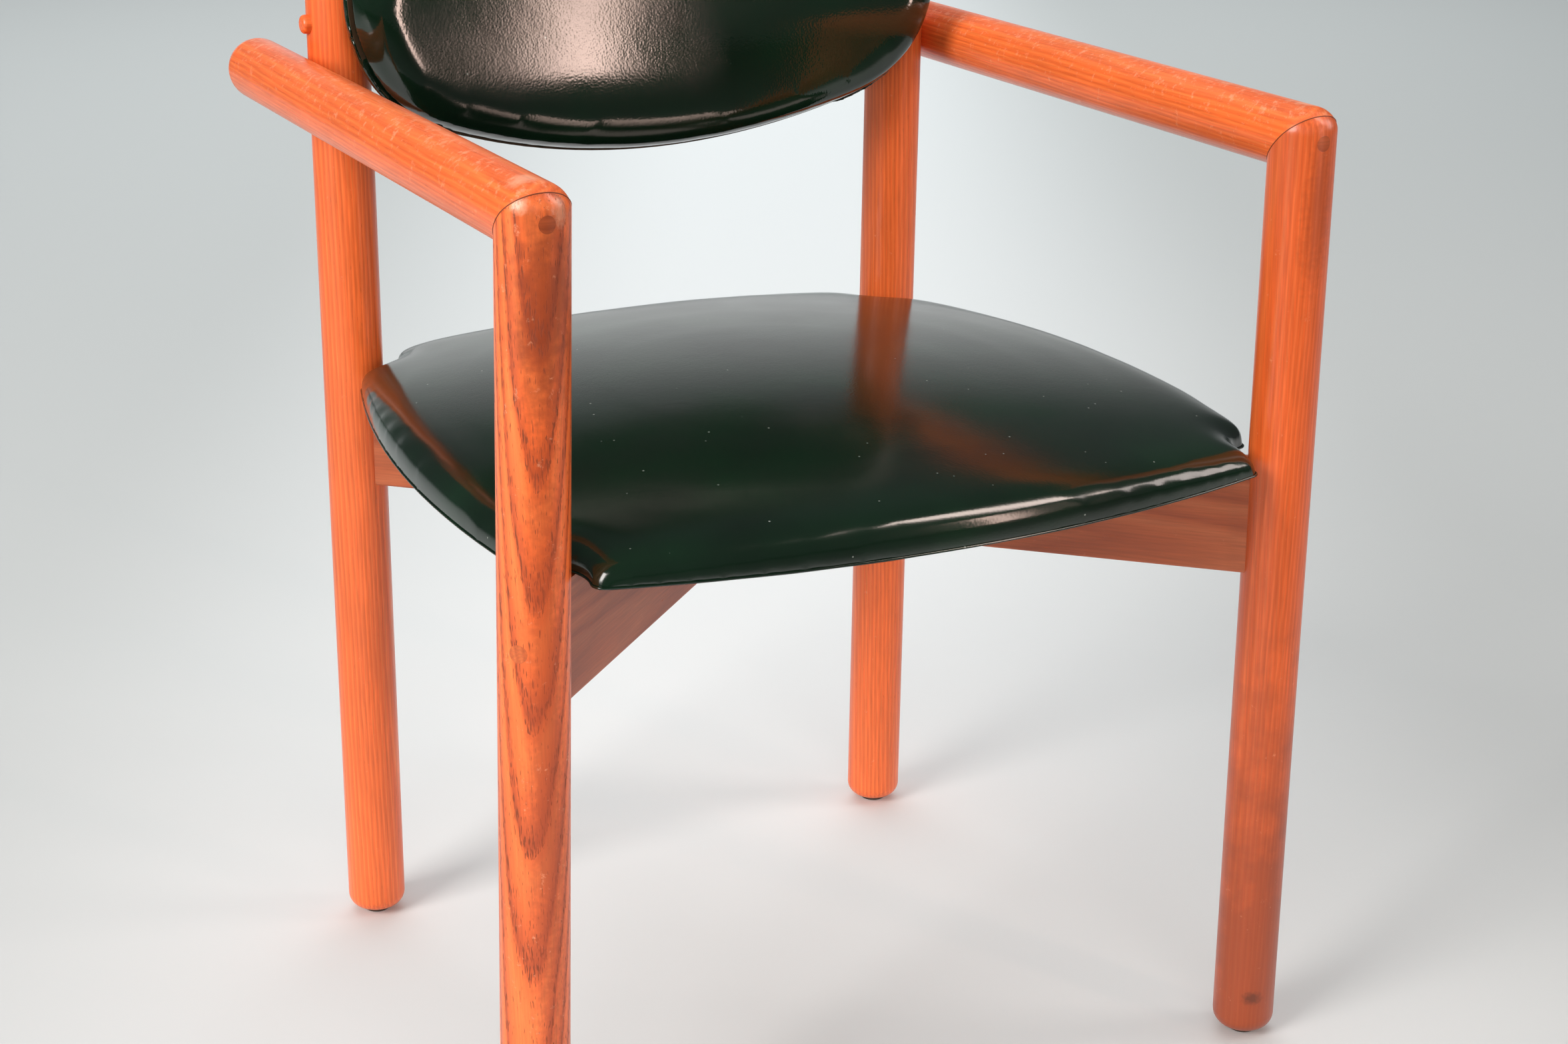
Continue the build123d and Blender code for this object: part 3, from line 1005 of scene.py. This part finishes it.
@dataclass(frozen=True)
class SeatPad:
    """The domed leather seat, its hem and its underside."""

    hide: Material
    body: str = "frame"
    node: str = "seat_cover"
    stuffing: Stuffing = Stuffing()
    roll_rounds: int = 30
    fast_mm: float = 3.0
    hem_mm: float = 0.8
    hem_points: int = 720
    roll_mm: float = 26.0
    pucker_mm: float = 11.0
    pucker_depth_mm: float = 0.04
    pucker_onset: float = 6.0
    pucker_drop: float = 0.35
    least_slope: float = 0.1
    cloth_node: str = "seat_dust_cover"
    cloth_points: int = 240
    cloth_rings: int = 24
    ripple_mm: float = 45.0
    ripple: float = 0.3

    def build(self) -> None:
        """Makes the stuffed seat with its puckers, its hem and its under-cloth."""
        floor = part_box(self.node)[0].z

        def fast(place: Vector) -> bool:
            """Whether a point is stapled to the board."""
            return place.z < floor + self.fast_mm * MM

        skin, mouth = outer_skin(self.node)
        mesh = self.stuffing.fill(skin, mouth, fast)
        places = places_of(mesh)
        places[:, 2] = eased(places[:, 2], mesh, free_points(places, fast), self.roll_rounds)
        move_points(mesh, places)
        self._pucker(mesh, floor)
        seat = add_cover("seat_leather", mesh, self.body, self.hide)
        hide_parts(self.node, "seat_foam", "seat_board")
        height = floor + self.hem_mm * MM
        hem_line = [Vector((p.x, p.y, height)) for p in spaced(mouth, self.hem_points)]
        cord = ring_tube("seat_hem", hem_line, self.hem_mm)
        dress(add_piece("seat_hem", cord, self.body), self.hide)
        self._under_cloth()

    def _pucker(self, mesh: Mesh, floor: float) -> None:
        """Gathers the hide where it turns under along the roll.

        Args:
            mesh: The settled seat, changed in place.
            floor: The height of the seat's underside.
        """
        normals = [v.normal.copy() for v in mesh.vertices]
        for vertex, normal in zip(mesh.vertices, normals):
            x, y, z = vertex.co
            rise = (z - floor) / (self.roll_mm * MM)
            sideways = 1.0 - abs(normal.z)
            if rise > 1.0 or sideways < self.least_slope:
                continue
            fade = max(0.0, 1.0 - rise) * min(1.0, max(0.0, rise) * self.pucker_onset) * sideways
            spot = Vector((x, y, z * self.pucker_drop)) * per_mm(self.pucker_mm)
            # A second, finer wave at half the height breaks up the first.
            wave = noise.noise(spot) + 0.5 * noise.noise(spot * 2.1 + Vector((7.0, 3.0, 1.0)))
            vertex.co += normal * (wave * fade * self.pucker_depth_mm * MM)

    def _under_cloth(self) -> None:
        """Stretches the woven cloth across the underside of the board."""
        outline = face_outline(self.cloth_node, Vector((0.0, 0.0, -1.0)), self.cloth_points)
        low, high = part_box(self.cloth_node)
        size = high - low
        middle = Vector(((low.x + high.x) / 2, (low.y + high.y) / 2, low.z))
        cloth = bmesh.new()
        rows = []
        for ring in range(1, self.cloth_rings + 1):
            row = []
            for point in outline:
                spot = middle.lerp(point, ring / self.cloth_rings)
                wave = noise.noise(Vector((spot.x, spot.y, 0.0)) * per_mm(self.ripple_mm))
                spot.z = low.z + size.z * (0.5 + self.ripple * wave)
                row.append(cloth.verts.new(spot))
            rows.append(row)
        hub = cloth.verts.new(middle + Vector((0.0, 0.0, size.z / 2)))
        count = len(outline)
        for here in range(count):
            after = (here + 1) % count
            cloth.faces.new((hub, rows[0][after], rows[0][here]))
            for inner, outer in zip(rows, rows[1:]):
                cloth.faces.new((inner[here], inner[after], outer[after], outer[here]))
        bmesh.ops.recalc_face_normals(cloth, faces=cloth.faces)
        area = sum(f.calc_area() for f in cloth.faces)
        mesh = bpy.data.meshes.new("under_cloth")
        cloth.to_mesh(mesh)
        cloth.free()
        woven = PlainFinish(
            "woven_under_cloth", "#141414", "#242422", texture_mm=1.6, roughness=0.9, depth_mm=0.2
        )
        sheet = add_piece("seat_under_cloth", mesh, self.body)
        dress(sheet, woven.build())
        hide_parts(self.cloth_node)


@dataclass(frozen=True)
class BackPad:
    """The oval back: stuffed front cushion, rear cover, board, and the welt between them."""

    hide: Material
    body: str = "back"
    stuffing: Stuffing = Stuffing()
    rear_stuffing: Stuffing = Stuffing(cell_mm=2.5)
    fast_mm: float = 3.0
    free_half_mm: float = 150.0
    cord_wave_mm: float = 5.0
    cord_wave_depth_mm: float = 0.15
    cord_cuts: int = 3

    def build(self) -> None:
        """Makes the cushion, the rear cover and the welt, and dresses the board."""
        skin, mouth = outer_skin("back_cover")
        mesh = self.stuffing.fill(skin, mouth, within("back_welt", self.fast_mm))
        cushion = add_cover("back_cushion", mesh, self.body, self.hide)
        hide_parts("back_cover", "back_foam")
        self._rear()
        self._welt()
        # The board is drawn dark brown, as painted shade where its edge shows under the cushion.
        plywood_in_painted_shade = PlainFinish("bent_plywood_in_painted_shade", "#4E3D2A", "#3E3021", texture_mm=3.0, roughness=0.6)
        dress(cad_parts["back_board"], plywood_in_painted_shade.build())

    def _rear(self) -> None:
        """Stretches the rear cover over wadding; only its middle swells, clear of the posts."""
        near_welt = within("back_welt", self.fast_mm)
        half = self.free_half_mm * MM
        skin, mouth = outer_skin("back_rear_cover")
        mesh = self.rear_stuffing.fill(skin, mouth, lambda p: abs(p.x) > half or near_welt(p))
        rear = add_cover("back_rear_leather", mesh, self.body, self.hide)
        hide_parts("back_rear_cover")

    def _welt(self) -> None:
        """Makes the welt a little uneven, as a covered cord is."""
        cord = joined("back_welt")
        long = [e for e in cord.edges if e.calc_length() > self.cord_wave_mm * MM]
        bmesh.ops.subdivide_edges(cord, edges=long, cuts=self.cord_cuts)
        cord.normal_update()
        depth = self.cord_wave_depth_mm * MM
        for vertex in cord.verts:
            wave = noise.noise(vertex.co * per_mm(self.cord_wave_mm))
            vertex.co += vertex.normal * (wave * depth)
        mesh = bpy.data.meshes.new("back_welt_cord")
        cord.to_mesh(mesh)
        cord.free()
        hide = GreenHide("welt_hide", colour="#0B130E", deep="#070C09", rubbed="#111B15")
        welt = add_piece("back_welt_cord", mesh, self.body)
        dress(welt, hide.build())
        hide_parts("back_welt")


@dataclass(frozen=True)
class Hardware:
    """Screws, dowels, pivots and glides."""

    metal: tuple[str, ...] = (
        "rail_screws", "mitre_screws", "arm_screws", "seat_screws", "lug_screws",
        "pivot_lugs", "pivot_bolts", "pivot_washers", "pivot_nuts",
    )

    def build(self) -> None:
        """Dresses the metal, the nylon, the glides and the dowels."""
        steel = PlainFinish(
            "zinc_plated_steel", "#A9ABAA", "#8E9190", texture_mm=2.0, roughness=0.38, metallic=1.0
        )
        nylon = PlainFinish("moulded_nylon", "#E2DFD3", "#D6D2C4", texture_mm=4.0, roughness=0.5)
        glide = PlainFinish("moulded_glide", "#3A322B", "#4A4037", texture_mm=3.0, roughness=0.55)
        beech = PlainFinish("raw_beech", "#CDA06E", "#B98A58", texture_mm=2.5, roughness=0.7)
        for finish, nodes in (
            (steel, self.metal),
            (nylon, ("pivot_bushes",)),
            (glide, ("foot_glides",)),
            (beech, ("rail_dowels", "mitre_dowels")),
        ):
            material = finish.build()
            for node in nodes:
                dress(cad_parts[node], material)


@dataclass(frozen=True)
class SoftBox:
    """A large soft lamp, by its place, its target, its size in metres and its power in watts.

    Mirrored says whether glossy surfaces show it, and lit whether it lights matt ones.
    """

    name: str
    place: tuple[float, float, float]
    target: tuple[float, float, float]
    size: Span
    power: float
    colour: str
    mirrored: bool = True
    lit: bool = True

    def build(self) -> None:
        """Hangs the lamp."""
        lamp = bpy.data.lights.new(self.name, "AREA")
        lamp.shape = "RECTANGLE"
        lamp.size, lamp.size_y = self.size
        lamp.energy, lamp.color = self.power, linear(self.colour)[:3]
        hung = bpy.data.objects.new(self.name, lamp)
        hung.location = self.place
        hung.visible_glossy = self.mirrored
        hung.visible_diffuse = self.lit
        ahead = Vector(self.target) - hung.location
        hung.rotation_euler = ahead.to_track_quat("-Z", "Y").to_euler()
        bpy.context.scene.collection.objects.link(hung)


@dataclass(frozen=True)
class Studio:
    """Floor, lamps, sky and camera."""

    floor_colour: str = "#E0E3E3"
    floor_painted_shade_aside: str = "#BCBFBE"
    floor_front_painted_shade: str = "#4E5253"
    floor_roughness: float = 0.85
    floor_sheen: float = 0.2
    floor_m: tuple[float, float, float] = (20.0, -8.0, 14.0)
    painted_light_pool_m: Span = (0.1, 0.8)
    painted_shade_front_m: Span = (-1.35, -0.75)
    backdrop_colour: str = "#F2F4F4"
    room_colour: str = "#4E5253"
    backdrop_yaw_deg: float = 18.0
    backdrop_edge: Span = (0.83, 0.97)
    backdrop_low: float = 1.6
    eye_mm: tuple[float, float, float] = (-769.99, -1478.63, 951.10)
    yaw_deg: float = 28.054
    pitch_deg: float = 19.915
    roll_deg: float = -0.816
    focal_px: float = 3865.14
    frame_px: float = 2354.0
    sensor_mm: float = 36.0
    clip_m: Span = (0.05, 60.0)
    lamps: tuple[SoftBox, ...] = (
        SoftBox(
            "window_right", (1.0, -1.755, 0.77), (-0.06, 0.16, 0.77), (0.1, 0.86), 4.8, "#FFDCCD"
        ),
        SoftBox(
            "window_right_edge",
            (1.21, -1.55, 0.85), (-0.19, 0.15, 0.85), (0.03, 0.7), 0.15, "#FFDCCD",
        ),
        SoftBox(
            "window_high",
            (1.25, -1.3, 2.1), (0.05, -0.25, 0.45), (0.5, 1.3), 26.0, "#FFE9DF", lit=False,
        ),
        SoftBox("fill_right", (3.2, -1.4, 1.8), (0.0, 0.0, 0.4), (1.2, 1.4), 30.0, "#FFF0EA"),
        SoftBox(
            "fill_front",
            (-1.2, -3.2, 1.6), (0.0, 0.0, 0.5), (2.4, 1.6), 42.0, "#FFF8F4", mirrored=False,
        ),
        SoftBox("window_left", (-3.4, -0.9, 2.2), (0.0, 0.0, 0.4), (1.8, 1.8), 145.0, "#FFF8F4"),
        SoftBox(
            "overhead",
            (0.2, 0.5, 3.2), (0.2, 0.5, 0.0), (4.0, 4.0), 66.0, "#FAFDFF", mirrored=False,
        ),
        SoftBox(
            "backdrop",
            (2.0, 4.2, 3.4), (2.0, 4.2, 0.0), (6.0, 3.0), 175.0, "#F4F8FA", mirrored=False,
        ),
    )

    def build(self) -> None:
        """Sets up the whole studio."""
        bpy.context.scene.view_settings.view_transform = "Standard"
        self._floor()
        self._sky()
        for lamp in self.lamps:
            lamp.build()
        self._camera()

    def _floor(self) -> None:
        """Lays the floor, with painted shade to its sides and in front of the chair."""
        wide, near, far = self.floor_m
        half = wide / 2
        corners = [(-half, near, 0), (half, near, 0), (half, far, 0), (-half, far, 0)]
        mesh = bpy.data.meshes.new("floor")
        mesh.from_pydata(corners, [], [(0, 1, 2, 3)])
        floor = bpy.data.objects.new("floor", mesh)
        bpy.context.scene.collection.objects.link(floor)
        dress(floor, self._floor_paint_and_painted_shade())

    def _floor_paint_and_painted_shade(self) -> Material:
        """Makes the floor's matt material: pale in the middle, with painted shade to the sides and
        in front.

        Returns:
            The finished material.
        """
        material, tree, surface = new_material("floor_with_painted_shade")
        place = coordinate(tree, "Object")
        facing = {"Vector": place, "Rotation": (0.0, 0.0, math.radians(self.yaw_deg))}
        across = add_node(tree, "SeparateXYZ", {0: add_node(tree, "Mapping", facing)}, "X")
        aside = reckoned(tree, "ABSOLUTE", across)
        # Painted shade: the floor darkens to either side, where the lamps' pool of light falls off.
        fade = mapped(tree, aside, self.painted_light_pool_m, kind="SMOOTHSTEP")
        paint_and_painted_shade = mixed(tree, fade, linear(self.floor_colour), linear(self.floor_painted_shade_aside))
        # In front of the chair the floor is painted dark, as painted shade for an unlit room, which
        # the leather mirrors.
        along = add_node(tree, "SeparateXYZ", {0: place}, "Y")
        behind = mapped(tree, along, self.painted_shade_front_m, kind="SMOOTHSTEP")
        looks = {
            "Base Color": mixed(tree, behind, linear(self.floor_front_painted_shade), paint_and_painted_shade),
            "Roughness": self.floor_roughness,
            "Specular IOR Level": self.floor_sheen,
        }
        set_inputs(tree, surface, looks)
        return material

    def _sky(self) -> None:
        """Stands a pale backdrop behind the chair, in a darker room."""
        world = bpy.data.worlds.new("room")
        world.use_nodes = True
        tree = world.node_tree
        yaw = math.radians(self.backdrop_yaw_deg)
        behind = (math.sin(yaw), math.cos(yaw), 0.0)
        # The backdrop is wider than it is high, so heights count for more.
        heights = {0: coordinate(tree, "Generated"), 1: (1.0, 1.0, self.backdrop_low)}
        taller = add_node(tree, "VectorMath", heights, operation="MULTIPLY")
        ahead = add_node(tree, "VectorMath", {0: taller}, operation="NORMALIZE")
        both = {0: ahead, 1: behind}
        facing = add_node(tree, "VectorMath", both, "Value", operation="DOT_PRODUCT")
        colours = dict(zip(self.backdrop_edge, (self.room_colour, self.backdrop_colour)))
        shade = ramped(tree, facing, colours)
        set_inputs(tree, tree.nodes["Background"], {"Color": shade})
        bpy.context.scene.world = world

    def _camera(self) -> None:
        """Stands the camera where the photograph was taken from."""
        lens = bpy.data.cameras.new("camera")
        lens.sensor_fit, lens.sensor_width = "HORIZONTAL", self.sensor_mm
        lens.lens = self.sensor_mm * self.focal_px / self.frame_px
        lens.clip_start, lens.clip_end = self.clip_m
        yaw, pitch, roll = (math.radians(a) for a in (self.yaw_deg, self.pitch_deg, self.roll_deg))
        flat = math.cos(pitch)
        ahead = Vector((math.sin(yaw) * flat, math.cos(yaw) * flat, -math.sin(pitch)))
        level = Vector((math.cos(yaw), -math.sin(yaw), 0.0))
        down = ahead.cross(level)
        right = level * math.cos(roll) + down * math.sin(roll)
        up = level * math.sin(roll) - down * math.cos(roll)
        camera = bpy.data.objects.new("camera", lens)
        turn = Matrix((right, up, -ahead)).transposed()
        camera.matrix_world = Matrix.Translation(Vector(self.eye_mm) * MM) @ turn.to_4x4()
        bpy.context.scene.collection.objects.link(camera)
        bpy.context.scene.camera = camera


def main() -> None:
    """Builds the chair's pieces in order, then the studio."""
    logging.basicConfig(level=logging.INFO, format="%(name)s: %(message)s")
    TimberFrame().build()
    SeatPad(GreenHide("green_hide_seat", roughness=0.16).build()).build()
    BackPad(GreenHide("green_hide_back").build()).build()
    Hardware().build()
    Studio().build()


if __name__ == "__main__":
    main()
